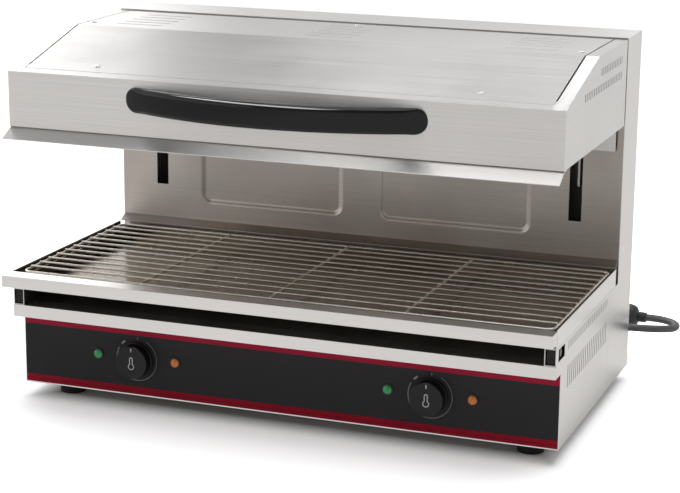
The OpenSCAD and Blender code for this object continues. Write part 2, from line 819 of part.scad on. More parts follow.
module hood_back_panel() {
    y = [hood_rear - sheet_t, hood_rear];
    color(steel) union() {
        block([-hood_x + sheet_t, hood_x - sheet_t], y, [hood_z, hood_top - sheet_t]);
        block([-hood_x + apron_in, hood_x - apron_in], y, [hood_z - apron_h, hood_z + eps]);
    }
}

lip_land = 10;                    // width of the deflector's flat land under the rim
lip_in = 4;                       // the land starts this far behind the hood's front face

module front_deflector() {
    y = hood_front;
    z = hood_z;
    t = sheet_t;
    color(steel) along_x([-hood_x, hood_x], [
        [y + lip_in, z], [y + lip_in + lip_land, z], [y + lip_in + lip_land, z - t], [y + lip_in, z - t],
        [y - lip_out, z - lip_drop], [y - lip_out - t / 2, z - lip_drop + t]]);
}

// The grip is an arc about an upright axis behind the hood's front face
handle_half = handle_l / 2;
arc_r = (handle_half * handle_half + handle_bow * handle_bow) / (2 * handle_bow);
arc_y = hood_front - handle_bow + arc_r;
handle_up = 50.5;
handle_z = hood_z + handle_up;
handle_corner = 7;
handle_screw_in = 18;             // from a handle's end to its screw
handle_screw_places = [for (sx = [-1, 1]) [sx * (handle_half - handle_screw_in), handle_z]];

module handle() {
    color(black) intersection() {
        translate([0, arc_y, handle_z]) rotate([0, 0, 180]) rotate_extrude(angle = 180, $fn = 180)
            translate([arc_r - handle_t / 2, 0]) round_rect(handle_t, handle_h, handle_corner);
        translate([0, hood_front, handle_z]) rotate([90, 0, 0])
            linear_extrude(handle_bow + over) round_rect(handle_l, handle_h, handle_h / 2 - eps);
    }
}

module handle_screws() {
    color(zinc) for (p = handle_screw_places) {
        rod_y(p[0], p[1], screw_head_r, at(hood_front + sheet_t, [0, screw_head_h]));
        rod_y(p[0], p[1], screw_r, at(hood_front, [0, sheet_t + eps]));
    }
}

// ---------------------------------------------------------------- heating

reflector_up = 24;
reflector_z = hood_z + reflector_up;
reflector_rim = 14;               // width of the reflector's rim at the front and the sides
reflector_back_rim = 8;
reflector_y = [hood_front + sheet_t + reflector_rim, hood_rear - sheet_t - reflector_back_rim];
reflector_x = hood_x - sheet_t - reflector_rim;
element_up = 11;
element_z = hood_z + element_up;
element_in = 30;                  // from the middle plane to an element's inner bends
element_out = 16;                 // from the reflector's side to an element's outer bends
element_air = 1;                  // air around the element's ends in the reflector
pass_y = [for (i = [-1.5:1:1.5]) (reflector_y[0] + reflector_y[1]) / 2 + i * 2 * element_bend];
element_x = [element_in + element_bend, reflector_x - element_out - element_bend];
element_elbow = 10;               // radius of the bends that lead up to the terminals
terminal_over = 12;               // the element's ends stand this far out of the insulation
terminal_up = reflector_z + wool_t + terminal_over;
terminal_x = element_x[0] - element_elbow;

module terminal_cuts(r) {
    both_sides() for (y = [pass_y[0], pass_y[3]])
        rod_z(terminal_x, y, r, [reflector_z - over, terminal_up + over]);
}

module reflector() {
    t = sheet_t;
    rim_z = hood_z + t;
    color(steel) difference() {
        union() {
            block([-hood_x + t, hood_x - t], [hood_front + t, hood_rear - t], at(rim_z, [0, t]));
            block([-reflector_x - t, reflector_x + t], [reflector_y[0] - t, reflector_y[1] + t],
                [rim_z + eps, reflector_z + t]);
        }
        block([-reflector_x, reflector_x], reflector_y, [rim_z - over, reflector_z]);
        terminal_cuts(element_r + element_air);
    }
}

// A half turn of tube in the element's plane, which starts at the angle a
module half_turn(x, y, a) {
    translate([x, y, element_z]) rotate([0, 0, a]) rotate_extrude(angle = 180, $fn = 64)
        translate([element_bend, 0]) circle(element_r);
}

// A quarter turn that leads a pass up into its terminal
module elbow(y) {
    translate([element_x[0], y, element_z + element_elbow]) rotate([90, 0, 0])
        rotate([0, 0, 180]) rotate_extrude(angle = 90, $fn = 64)
            translate([element_elbow, 0]) circle(element_r);
    rod_z(terminal_x, y, element_r, [element_z + element_elbow, terminal_up]);
}

module heating_element() {
    color([0.25, 0.23, 0.22]) union() {
        for (y = pass_y) rod_x(y, element_z, element_r, element_x);
        for (i = [0, 2]) half_turn(element_x[1], (pass_y[i] + pass_y[i + 1]) / 2, -90);
        half_turn(element_x[0], (pass_y[1] + pass_y[2]) / 2, 90);
        for (y = [pass_y[0], pass_y[3]]) elbow(y);
    }
}

module heating_element_left() { left_side() heating_element(); }
module heating_element_right() { heating_element(); }

hanger_x = [for (f = [0.2, 0.8]) element_x[0] + f * (element_x[1] - element_x[0])];

hanger_edge = 3;                  // a hanger reaches this far below the element

module element_hangers() {
    x_cut = [-sheet_t, sheet_t];
    color(zinc) both_sides() for (x = hanger_x) difference() {
        block(at(x, x_cut / 2), reflector_y, [element_z - element_r - hanger_edge, reflector_z]);
        for (y = pass_y) rod_x(y, element_z, element_r + seat, at(x, x_cut));
    }
}

module insulation() {
    color([0.9, 0.9, 0.86]) difference() {
        block([-reflector_x, reflector_x], reflector_y, at(reflector_z + sheet_t, [0, wool_t]));
        terminal_cuts(element_r + element_air);
    }
}

bead_w = 28;                      // ceramic beads that hold the element's ends
bead_d = 18;
bead_h = 8;

module hood_terminals() {
    color([0.92, 0.9, 0.84]) both_sides() for (y = [pass_y[0], pass_y[3]]) difference() {
        block(at(terminal_x, [-bead_w / 2, bead_w / 2]), at(y, [-bead_d / 2, bead_d / 2]),
            at(reflector_z + sheet_t + wool_t, [0, bead_h]));
        rod_z(terminal_x, y, element_r + seat, [reflector_z, terminal_up]);
    }
}

// ---------------------------------------------------------------- tray and grid

tray_front = ahead(rail_reach);
tray_rear = ahead(tray_back_gap);
rear_wall_down = 8;
rear_wall_h = tray_h - rear_wall_down;
ledge_w = 16;                     // width of the ledges that the grid lies on
ledge_down = 7;
ledge_z = tray_top - ledge_down;

module grill_tray() {
    t = sheet_t;
    color(steel) union() {
        block([-body_x, body_x], [tray_front, tray_rear], at(tray_z, [0, t]));
        both_sides() block([inner_x, body_x - eps], [tray_front, tray_rear], [tray_z + eps, tray_top]);
        both_sides() block([inner_x - ledge_w, inner_x + eps], [tray_front + eps, tray_rear - eps],
            at(ledge_z, [-t, 0]));
        block([-inner_x - eps, inner_x + eps], at(tray_rear, [-t, -eps]), at(tray_z, [eps, rear_wall_h]));
        block([-inner_x - eps, inner_x + eps], at(tray_front, [eps, t]), [tray_z + eps, ledge_z]);
    }
}

bar_front = ahead(rail_reach + bar_out);
bar_return = 12;                  // width of the flange folded back under the bar
bar_apron = 4;                    // the bar's rear flange reaches this far below the bar

module tray_front_bar() {
    x = body_x + bar_over;
    t = sheet_t;
    y = [bar_front, bar_front + bar_top_d];
    z = [tray_top - bar_h, tray_top];
    color(steel) union() {
        along_x([-x, x], [
            [y[0] + bar_return, z[0]], [y[0], z[0]], [y[0], z[1]], [y[1], z[1]], [y[1], ledge_z],
            [tray_front, ledge_z], [tray_front, z[0] - bar_apron], [tray_front - t, z[0] - bar_apron],
            [tray_front - t, ledge_z - t], [y[1] - t, ledge_z - t], [y[1] - t, z[1] - t],
            [y[0] + t, z[1] - t], [y[0] + t, z[0] + t], [y[0] + bar_return, z[0] + t]]);
        both_sides() block([x - t, x - eps], [y[0] + eps, y[1] - eps], [z[0] + eps, z[1] - eps]);
    }
}

grid_side_in = 7.5;               // from the tray's inside to the middle of the frame's rods
grid_front_in = 16;
grid_rear_in = 6;
grid_x = inner_x - grid_side_in;
grid_front = tray_front + grid_front_in;
grid_rear = tray_rear - grid_rear_in;
grid_corner = 10;
weld = 0.6;                       // how far the cross rods sink into the frame's rods
frame_z = ledge_z + slide_gap + frame_rod_r;
cross_z = frame_z + frame_rod_r + cross_rod_r - weld;
cross_first_in = 22;              // from the frame's front rod to the first cross rod
cross_last_in = 34;               // from the last cross rod to the frame's rear rod
cross_first = grid_front + cross_first_in;
cross_pitch = (grid_rear - cross_last_in - cross_first) / (cross_rods - 1);
stay_offset = -10;                // the grid's stays sit a little left of the middle

// A quarter bend of the frame rod, for the corner whose outline runs from angle a
module frame_bend(x, y, a) {
    translate([x, y, frame_z]) rotate([0, 0, a]) rotate_extrude(angle = 90, $fn = 64)
        translate([grid_corner, 0]) circle(frame_rod_r);
}

module wire_grid() {
    c = grid_corner;
    color([0.8, 0.79, 0.76]) union() {
        for (y = [grid_front, grid_rear])
            rod_x(y, frame_z, frame_rod_r, [-grid_x + c - eps, grid_x - c + eps]);
        for (x = [-grid_x, grid_x])
            rod_y(x, frame_z, frame_rod_r, [grid_front + c - eps, grid_rear - c + eps]);
        frame_bend(grid_x - c, grid_rear - c, 0);
        frame_bend(-grid_x + c, grid_rear - c, 90);
        frame_bend(-grid_x + c, grid_front + c, 180);
        frame_bend(grid_x - c, grid_front + c, 270);
        for (i = [-1:1]) rod_y(stay_offset + i * stay_pitch, frame_z, frame_rod_r, [grid_front, grid_rear]);
        for (i = [0:cross_rods - 1])
            rod_x(cross_first + i * cross_pitch, cross_z, cross_rod_r, [-grid_x, grid_x]);
    }
}

// ---------------------------------------------------------------- power cord

relief_l = 30;
gland_nut_r = 15;
gland_nut_h = 8;
gland_in = 10;                    // how far the gland reaches into the column
exit_y = behind(column_d) + gland_nut_h + relief_l;

// Nut outside the cover, a body in its hole and a tapered relief around the cord
module cable_gland() {
    y = behind(column_d);
    color(black) difference() {
        union() {
            rod_y(gland_x, gland_z, gland_nut_r, [y, y + gland_nut_h]);
            rod_y(gland_x, gland_z, gland_bore - seat, [y - gland_in, y + eps]);
            translate([gland_x, y + gland_nut_h - eps, gland_z]) rotate([-90, 0, 0])
                cylinder(r1 = gland_nut_r - 3, r2 = cord_r + 1.5, h = relief_l);
        }
        rod_y(gland_x, gland_z, cord_r, [y - gland_in - over, exit_y + over]);
    }
}

// The coil lies on the floor behind the column; the cord's route keeps these places and points
coil_x = 294;
coil_y = 350;
coil_r = 60;                      // to the middle of the cord
coil_h = 48;
tube_sides = 10;
feed_route = [
    [366, 252, 50], [366, 284, 50], [366, 295, 48.5], [366, 306, 44], [366, 315, 37], [366, 322, 28],
    [366, 329, 18.5], [366, 338, 11.5], [366, 349, 7], [366, 360, 5.5], [363, 373, 5.5], [356, 386, 5.5],
    [346, 398, 5.5], [333, 407, 5.5], [319, 413, 5.5], [305, 415, 5.5], [291, 414, 5.5], [278, 411, 5.5],
    [265, 405, 5.5], [254, 397, 5.5], [242, 380, 5.5]];
lead_route = [
    [294, 290, 42], [310, 289.5, 43], [326, 286.5, 47], [342, 282, 54], [358, 277, 62.5], [374, 272.5, 69],
    [390, 268.5, 73], [402, 266.5, 74.5], [412, 266, 75], [423, 267.5, 75], [434, 272, 74.5],
    [443, 279, 73.5], [450, 288, 72], [455, 299, 70.5], [456, 310, 69.5], [455, 321, 68.5],
    [450, 332, 68], [443, 341, 67.5], [434, 348, 67], [423, 352.5, 67], [412, 354, 67], [398, 354, 67]];
plug_x = 402;                     // end of the plug's neck
plug_y = 354;
plug_z = 67;
plug_r = 19;
plug_neck = 12;
plug_neck_r = 8;
plug_taper = 14;
plug_body = 38;
plug_step = [3, 4];               // the step from the neck to the taper, inwards and along
plug_edge = 2;
plug_l = plug_neck + plug_taper + plug_body;
pin_r = 2.4;
pin_l = 19;
pin_off = 9.5;
pin_in = 10;                      // how far the pins reach into the plug
cord_in = 5;                      // how far the cord reaches into the plug's neck

function unit(v) = v / norm(v);
function heading(p, i) = unit(p[min(i + 1, len(p) - 1)] - p[max(i - 1, 0)]);
function ring(p, i) = let (t = heading(p, i), s = unit(cross(t, [0, 0, 1])), u = cross(s, t))
    [for (k = [0:tube_sides - 1], a = 360 * k / tube_sides) p[i] + cord_r * (cos(a) * s + sin(a) * u)];

// A tube of the cord's radius along a list of points
module tube(route) {
    n = tube_sides;
    last = (len(route) - 1) * n;
    polyhedron(
        points = [for (i = [0:len(route) - 1]) each ring(route, i)],
        faces = concat(
            [[for (k = [0:n - 1]) k]],
            [for (i = [0:len(route) - 2], k = [0:n - 1])
                [i * n + k, i * n + n + k, i * n + n + (k + 1) % n]],
            [for (i = [0:len(route) - 2], k = [0:n - 1])
                [i * n + k, i * n + n + (k + 1) % n, i * n + (k + 1) % n]],
            [[for (k = [n - 1:-1:0]) last + k]]));
}

module power_cord_feed() { color(black) tube(feed_route); }
module power_cord_lead() { color(black) tube(lead_route); }

module power_cord_coil() {
    color(black) translate([coil_x, coil_y, 0]) rotate_extrude($fn = 96)
        translate([coil_r - cord_r, 0]) square([2 * cord_r, coil_h]);
}

// Plug body turned about its axis, with its neck towards +X and its pins towards -X
module power_plug() {
    color(black) difference() {
        translate([plug_x, plug_y, plug_z]) rotate([0, -90, 0]) rotate_extrude($fn = 64)
            polygon([[0, 0], [plug_neck_r, 0], [plug_neck_r, plug_neck],
                [plug_r - plug_step[0], plug_neck + plug_step[1]], [plug_r, plug_neck + plug_taper],
                [plug_r, plug_l - plug_edge], [plug_r - plug_edge, plug_l], [0, plug_l]]);
        rod_x(plug_y, plug_z, cord_r + eps, [plug_x - cord_in, plug_x + over]);
        for (s = [-1, 1])
            rod_x(plug_y + s * pin_off, plug_z, pin_r + seat, at(plug_x - plug_l, [-over, pin_in]));
    }
}

module plug_pins() {
    color(zinc) for (s = [-1, 1])
        rod_x(plug_y + s * pin_off, plug_z, pin_r, at(plug_x - plug_l, [-pin_l, pin_in]));
}

base_floor();
base_side_left();
base_side_right();
control_panel();
panel_overlay();
front_rail();
deck_plate();
tray_runner_left();
tray_runner_right();
feet();
foot_screws();
lamp_bezels();
power_lamp_lenses();
heat_lamp_lenses();
thermostat_left();
thermostat_right();
terminal_block();
column_front_panel();
column_side_left();
column_side_right();
column_top_cap();
column_back_cover();
back_cover_screws();
guide_rods();
guide_rod_brackets();
strut_cylinders();
cable_gland();
power_cord_feed();
power_cord_coil();
power_cord_lead();
power_plug();
plug_pins();
hood_shell();
hood_top_cover();
cover_screws();
hood_back_panel();
front_deflector();
handle();
handle_screws();
reflector();
heating_element_left();
heating_element_right();
element_hangers();
insulation();
hood_terminals();
lift_arm_left();
lift_arm_right();
carriage_left();
carriage_right();
carriage_bar();
guide_bushes();
strut_rods();
grill_tray();
tray_front_bar();
wire_grid();
knob_left();
knob_right();
knob_spindle_left();
knob_spindle_right();
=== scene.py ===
import math
import random

import bmesh
import bpy
from mathutils import Matrix, Vector


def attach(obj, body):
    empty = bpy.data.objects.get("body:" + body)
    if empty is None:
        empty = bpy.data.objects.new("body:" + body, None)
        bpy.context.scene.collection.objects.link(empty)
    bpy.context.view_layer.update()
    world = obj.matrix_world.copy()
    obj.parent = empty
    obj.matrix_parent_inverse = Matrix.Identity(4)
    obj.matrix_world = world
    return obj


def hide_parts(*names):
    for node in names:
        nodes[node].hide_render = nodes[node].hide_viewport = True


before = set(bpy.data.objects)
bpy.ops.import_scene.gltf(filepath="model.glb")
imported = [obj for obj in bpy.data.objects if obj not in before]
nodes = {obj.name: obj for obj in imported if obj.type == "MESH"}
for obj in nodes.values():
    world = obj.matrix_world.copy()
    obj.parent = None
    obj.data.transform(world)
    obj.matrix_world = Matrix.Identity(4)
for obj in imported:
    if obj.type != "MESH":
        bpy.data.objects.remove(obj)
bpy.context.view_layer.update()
random.seed(7)

# Sizes in mm that the pieces here share with the CAD solids.
KNOB_X, KNOB_Z = 218.5, 76              # the knobs' axes on the panel, at either side of the middle
KNOB_SEAT_Y = -168.3
CORD_R = 5.5
CORD_EXIT = (366, 252, 50)
COIL_X, COIL_Y, COIL_R, COIL_TOP = 294, 350, 60, 42
PLUG_REAR = (402, 354, 67)
BACK_Y = 245.2                          # the outer face of the column's back cover
COVER_TOP = 526                         # the outer face of the hood's top cover


# ---------------------------------------------------------------- camera
# Its place, turn and lens were solved from the photograph's edges.

camera_data = bpy.data.cameras.new("camera")
camera_data.lens = 105.2294
camera_data.sensor_width = 36
camera_data.clip_end = 40
camera = bpy.data.objects.new("camera", camera_data)
camera.location = (0.989760, -2.594540, 0.916670)
camera.rotation_euler = (1.3262400, -0.0093800, 0.3582900)
bpy.context.scene.collection.objects.link(camera)
bpy.context.scene.camera = camera
bpy.context.scene.view_settings.view_transform = "Standard"


# ---------------------------------------------------------------- mesh helpers

def mm(*values):
    return tuple(v / 1000 for v in values)


def link(mesh_or_curve, name):
    obj = bpy.data.objects.new(name, mesh_or_curve)
    bpy.context.scene.collection.objects.link(obj)
    return obj


def finish_mesh(bm, name, smooth=True):
    bmesh.ops.recalc_face_normals(bm, faces=bm.faces)
    for face in bm.faces:
        face.smooth = smooth
    mesh = bpy.data.meshes.new(name)
    bm.to_mesh(mesh)
    bm.free()
    return link(mesh, name)


def basis(origin, axis):
    """A matrix whose Z runs along axis, at origin."""
    z = Vector(axis).normalized()
    side = Vector((0, 0, 1)) if abs(z.z) < 0.95 else Vector((1, 0, 0))
    x = side.cross(z).normalized()
    y = z.cross(x)
    m = Matrix((x, y, z)).transposed().to_4x4()
    m.translation = Vector(origin)
    return m


def rings(bm, loops):
    """Skins a list of vertex loops of one length, and closes both ends."""
    n = len(loops[0])
    for a, b in zip(loops, loops[1:]):
        for k in range(n):
            bm.faces.new((a[k], a[(k + 1) % n], b[(k + 1) % n], b[k]))
    bm.faces.new(loops[0])
    bm.faces.new(loops[-1])


def lathe(bm, place, profile, segments, shape=None):
    """Turns (radius, height) pairs in mm about place's Z. shape(radius, height, angle) changes the
    radius."""
    loops = []
    for r, h in profile:
        loop = []
        for k in range(segments):
            a = 2 * math.pi * k / segments
            q = shape(r, h, a) if shape else r
            loop.append(bm.verts.new(place @ Vector(mm(q * math.cos(a), q * math.sin(a), h))))
        loops.append(loop)
    rings(bm, loops)


def rounded(r, h, edge, steps=5):
    """The outer corner of a turned profile, rounded by edge, as (radius, height) pairs."""
    return [(r - edge + edge * math.sin(a), h - edge + edge * math.cos(a))
            for a in (math.pi / 2 * (1 - i / steps) for i in range(steps + 1))]


def hexagon(half_flats, low, high):
    """A shape for lathe: cuts six flats between the heights low and high."""
    def shape(r, h, a):
        part = (a + math.pi / 6) % (math.pi / 3) - math.pi / 6
        return min(r, half_flats / math.cos(part)) if low < h < high else r
    return shape


# ---------------------------------------------------------------- material helpers

class Shader:
    """A Principled material and the few nodes that its texture needs."""

    def __init__(self, name, colour, rough=0.5, metal=0.0, **sockets):
        self.material = bpy.data.materials.new(name)
        self.material.use_nodes = True
        self.tree = self.material.node_tree
        self.bsdf = self.tree.nodes["Principled BSDF"]
        self.set("Base Color", (*colour, 1))
        self.set("Roughness", rough)
        self.set("Metallic", metal)
        for key, value in sockets.items():
            self.set(key.replace("_", " "), value)
        self.material.diffuse_color = (*colour, 1)

    def set(self, socket, value):
        self.bsdf.inputs[socket].default_value = value

    def node(self, kind, inputs=(), **attributes):
        n = self.tree.nodes.new(kind)
        for key, value in attributes.items():
            setattr(n, key, value)
        for key, value in dict(inputs).items():
            if isinstance(value, bpy.types.NodeSocket):
                self.tree.links.new(value, n.inputs[key])
            else:
                n.inputs[key].default_value = value
        return n

    def link(self, output, socket):
        self.tree.links.new(output, self.bsdf.inputs[socket])

    def coords(self):
        return self.node("ShaderNodeTexCoord").outputs["Object"]

    def noise(self, scale, detail=3.0):
        return self.node("ShaderNodeTexNoise", {"Vector": self.coords(), "Scale": scale,
                                                "Detail": detail, "Roughness": 0.55}).outputs["Fac"]

    def axes(self, output=None):
        """The x, y and z of a vector output or, without one, of the place on the object."""
        if output is None:
            output = self.coords()
        return self.node("ShaderNodeSeparateXYZ", {0: output}).outputs

    def math(self, operation, a, b=0.0):
        return self.node("ShaderNodeMath", {0: a, 1: b}, operation=operation).outputs[0]

    def length(self, u, w):
        return self.math("SQRT", self.math("ADD", self.math("MULTIPLY", u, u),
                                           self.math("MULTIPLY", w, w)))

    def fit(self, value, a, b, c, d, smooth=False):
        """Maps a..b onto c..d."""
        n = self.node("ShaderNodeMapRange", {"Value": value, "From Min": a, "From Max": b,
                                             "To Min": c, "To Max": d})
        if smooth:
            n.interpolation_type = "SMOOTHSTEP"
        return n.outputs["Result"]

    def mix(self, factor, a, b):
        n = self.node("ShaderNodeMix", data_type="RGBA")
        for key, value in ((0, factor), (6, a), (7, b)):
            if isinstance(value, bpy.types.NodeSocket):
                self.tree.links.new(value, n.inputs[key])
            elif key == 0:
                n.inputs[0].default_value = value
            else:
                n.inputs[key].default_value = (*value, 1)
        return n.outputs[2]

    def bump(self, height, strength, distance, fold=0.0, under=None):
        """Bump on top of under, or of edges rounded by the radius fold."""
        inputs = {"Height": height, "Strength": strength, "Distance": distance}
        if fold:
            under = self.node("ShaderNodeBevel", {"Radius": fold}, samples=6).outputs[0]
        if under:
            inputs["Normal"] = under
        self.link(self.node("ShaderNodeBump", inputs).outputs[0], "Normal")


def grain_of(s, turned=None):
    """The grain's noise and the direction in which it spreads light. Grain runs level on upright faces
    and from side to side on level ones, or from front to back on those where turned is 1."""
    place = s.axes()
    normal = s.axes(s.node("ShaderNodeNewGeometry").outputs["True Normal"])
    level = s.math("GREATER_THAN", s.math("ABSOLUTE", normal["Z"]), 0.6)
    turned = s.math("MULTIPLY", level, turned(s, place) if turned else 0.0)
    across = s.math("SUBTRACT", level, turned)
    upright = s.math("SUBTRACT", 1.0, level)
    weights = (turned, across, upright)
    along, across_grain = 3, 480        # noise cells per metre
    stretched = s.node("ShaderNodeCombineXYZ", {
        i: s.math("MULTIPLY", place[i], s.fit(weight, 0, 1, along, across_grain))
        for i, weight in enumerate(weights)})
    fine = s.node("ShaderNodeTexNoise", {"Vector": stretched.outputs[0], "Scale": 1.0,
                                         "Detail": 3.0, "Roughness": 0.65}).outputs["Fac"]
    tangent = s.node("ShaderNodeCombineXYZ", dict(enumerate(weights))).outputs[0]
    return fine, tangent


FOLD_R = 0.0008                         # the outer radius of a fold in the sheets
FIELD_DEPTH = 0.0025                    # how far the column's fields are pressed in
TRAY_SIDE_X = 0.3971                    # the tray's outer sides lie beyond this, its inside within it


def brushed(name, colour, rough, aniso=0.6, cloud=0.03, warmth=None, streaks=0.03, turned=None,
            outside=None, relief=None):
    """Sheet metal with a fine grain and folded edges. warmth is the tint of its heated patches, outside
    the plain colour of the tray's outer sides, relief a function that gives the height of its pressed
    shapes. Within the tray's sides the darker colour stays, which is partly painted shade."""
    s = Shader(name, colour, rough, 1.0, Anisotropic=aniso)
    fine, tangent = grain_of(s, turned)
    wide = s.noise(5.0, detail=3.0)
    uneven = s.math("ADD", s.fit(fine, 0.3, 0.7, -0.03, 0.03),
                    s.fit(wide, 0.35, 0.65, -cloud, cloud))
    s.link(s.math("ADD", uneven, rough), "Roughness")
    light = tuple(min(1, c * (1 + streaks)) for c in colour)
    dark = tuple(c * (1 - streaks) for c in colour)
    tone = s.mix(s.fit(fine, 0.3, 0.7, 0, 1), dark, light)
    if warmth:
        tone = s.mix(s.fit(s.noise(4.0, detail=4.0), 0.42, 0.68, 0, 1), tone, warmth)
    # The tray's inside keeps its darker colour (heat tint and painted shade); its outer sides get plain
    # steel.
    if outside:
        outer = s.math("GREATER_THAN", s.math("ABSOLUTE", s.axes()["X"]), TRAY_SIDE_X)
        tone = s.mix(outer, tone, outside)
    s.link(tone, "Base Color")
    pressed = None
    if relief:
        pressed = s.node("ShaderNodeBump", {"Height": relief(s), "Strength": 1.0,
                                            "Distance": FIELD_DEPTH}).outputs[0]
    s.bump(fine, 0.04, 0.0002, 0.0 if pressed else FOLD_R, pressed)
    s.link(tangent, "Tangent")
    return s.material


def metal(name, colour, rough, cloud=0.05, warmth=None, grain=400.0, metallic=1.0):
    """Drawn, cast or plated metal without a grain, a little uneven in gloss and tint."""
    s = Shader(name, colour, rough, metallic)
    fine = s.noise(grain, detail=2.0)
    wide = s.noise(14.0, detail=3.0)
    s.link(s.fit(wide, 0.35, 0.65, rough - cloud, rough + cloud), "Roughness")
    tint = warmth or tuple(c * 0.88 for c in colour)
    s.link(s.mix(s.fit(s.noise(22.0, detail=4.0), 0.42, 0.70, 0, 1), colour, tint), "Base Color")
    s.bump(fine, 0.06, 0.0002)
    return s.material


def speckled(name, colour, rough, grain=900.0, bump=0.15, vary=0.1, **sockets):
    """Moulded plastic, rubber or paint: a fine texture, with its colour and gloss a little uneven."""
    s = Shader(name, colour, rough, **sockets)
    fine = s.noise(grain, detail=2.0)
    wide = s.noise(9.0, detail=3.0)
    s.link(s.fit(wide, 0.3, 0.7, rough - 0.05, rough + 0.06), "Roughness")
    s.link(s.mix(s.fit(wide, 0.3, 0.7, 0, 1), tuple(c * (1 - vary) for c in colour),
                 tuple(c * (1 + vary) for c in colour)), "Base Color")
    s.bump(fine, bump, 0.0003)
    return s.material


# ---------------------------------------------------------------- materials

def beside_cover(s, place):
    """1 on the hood's top strips at either side of its cover, which are folded over from its sides."""
    cover_half_x = 0.3785
    return s.math("GREATER_THAN", s.math("ABSOLUTE", place["X"]), cover_half_x)


def field_relief(s):
    """The column's two pressed fields, with soft edges: 1 on the plain sheet, 0 in a field."""
    place = s.axes()
    corner, soft = 0.012, 0.0045
    middle_x, half_width = 0.1465, 0.1135
    middle_z, half_height = 0.350, 0.115

    def beyond(value, middle, half):
        off = s.math("ABSOLUTE", s.math("SUBTRACT", value, middle))
        return s.math("SUBTRACT", off, half - corner)

    u = beyond(s.math("ABSOLUTE", place["X"]), middle_x, half_width)
    w = beyond(place["Z"], middle_z, half_height)
    outer = s.length(s.math("MAXIMUM", u, 0.0), s.math("MAXIMUM", w, 0.0))
    inner = s.math("MINIMUM", s.math("MAXIMUM", u, w), 0.0)
    away = s.math("SUBTRACT", s.math("ADD", outer, inner), corner)
    return s.fit(away, -soft, soft, 0, 1, True)


STEEL = (0.80, 0.785, 0.77)
sheet = brushed("sheet_steel", STEEL, 0.34)
sheet_hood = brushed("sheet_hood", (0.735, 0.720, 0.710), 0.33, 0.80, streaks=0.05,
                     turned=beside_cover)
# The column's front is darker than the other sheets, which paints the shade under the hood, and it has
# patches of heat tint.
sheet_heat_tint_and_shade = brushed("sheet_heat_tint_and_shade", (0.57, 0.525, 0.49), 0.35, 0.75, 0.04, (0.48, 0.425, 0.38), 0.07,
                     relief=field_relief)
sheet_inner = brushed("sheet_inner", (0.62, 0.60, 0.57), 0.42, 0.3, 0.06)
# The tray's inside is darker than plain steel: patches of heat tint, and painted shade under the hood
# and grid.
tray_tint_and_shade = brushed("tray_heat_tint_and_painted_shade", (0.37, 0.325, 0.27), 0.20, 0.3, 0.05, (0.25, 0.20, 0.15),
                     outside=STEEL)
reflector_steel = brushed("reflector", (0.66, 0.60, 0.50), 0.30, 0.4, 0.06, (0.48, 0.36, 0.25))
plain_steel = metal("plain_steel", (0.60, 0.59, 0.58), 0.45)
wire = metal("grid_wire", (0.96, 0.93, 0.87), 0.24, 0.05, (0.88, 0.81, 0.70), 500.0, 0.7)
ground = metal("ground_rod", (0.75, 0.75, 0.75), 0.18, 0.03)
zinc = metal("zinc", (0.70, 0.71, 0.72), 0.28)
sheath = metal("element_sheath", (0.20, 0.175, 0.16), 0.48, 0.1, (0.12, 0.09, 0.08))
brass = metal("pin_brass", (0.72, 0.60, 0.34), 0.25)
bronze = metal("bush_bronze", (0.62, 0.45, 0.26), 0.40)
gloss_black = speckled("gloss_black", (0.006, 0.0055, 0.006), 0.10, 300.0, 0.01, 0.2,
                       Specular_IOR_Level=0.30)
knob_black = speckled("knob_black", (0.009, 0.009, 0.0095), 0.22, 1400.0, 0.04, 0.15,
                      Specular_IOR_Level=0.28)
dull_black = speckled("dull_black", (0.022, 0.022, 0.023), 0.5, 1200.0, 0.15)
rubber = speckled("foot_rubber", (0.016, 0.016, 0.017), 0.62, 1500.0, 0.25)
cord_rubber = speckled("cord_rubber", (0.105, 0.105, 0.107), 0.55, 1600.0, 0.2)
cord_plastic = speckled("plug_plastic", (0.035, 0.035, 0.037), 0.45, 1500.0, 0.15)
bakelite = speckled("switch_plastic", (0.10, 0.095, 0.09), 0.5, 700.0, 0.15)
wool = speckled("mineral_wool", (0.55, 0.50, 0.40), 0.95, 260.0, 0.9, 0.25)
mark_white = speckled("mark_white", (0.80, 0.80, 0.80), 0.5, 900.0, 0.05, 0.03)


def lens(name, colour, glow):
    """A ribbed pilot lamp's lens with a little painted glow, though the lamp is not lit."""
    s = Shader(name, colour, 0.22, Coat_Weight=0.4, Coat_Roughness=0.1, Subsurface_Weight=0.25,
               Subsurface_Scale=0.002, Emission_Strength=glow)
    s.set("Emission Color", (*colour, 1))
    ribs = s.node("ShaderNodeTexVoronoi", {"Vector": s.coords(), "Scale": 520.0}).outputs["Distance"]
    s.link(s.mix(s.fit(ribs, 0.0, 0.6, 0, 1), tuple(c * 0.7 for c in colour), colour), "Base Color")
    s.bump(ribs, 0.4, 0.0006)
    return s.material


# The lenses' emission is a painted glow: the lamps are off.
green_lens = lens("green_lens", (0.004, 0.24, 0.050), 0.35)
amber_lens = lens("amber_lens", (0.62, 0.17, 0.010), 0.22)


def shaded_channel():
    """The runners: a near-black colour paints the shade inside their channel, and their cut edges at
    the front keep a plain steel colour.
    """
    s = Shader("runner_painted_shade", (0.08, 0.075, 0.07), 0.55, 0.7)
    # edge is 1 on the cut edges at the front; film, a near-black with a little noise, is painted shade
    # for the channel.
    front_y, soft = -0.1950, 0.0004
    edge = s.fit(s.axes()["Y"], front_y, front_y + soft, 1, 0)
    film = s.mix(s.fit(s.noise(30.0), 0.35, 0.65, 0, 1), (0.05, 0.045, 0.04), (0.10, 0.09, 0.08))
    s.link(s.mix(edge, film, (0.75, 0.74, 0.73)), "Base Color")
    s.link(s.fit(edge, 0, 1, 0.6, 0.35), "Roughness")
    s.bump(s.noise(300.0, detail=2.0), 0.05, 0.0002)
    return s.material


runner_painted_shade = shaded_channel()


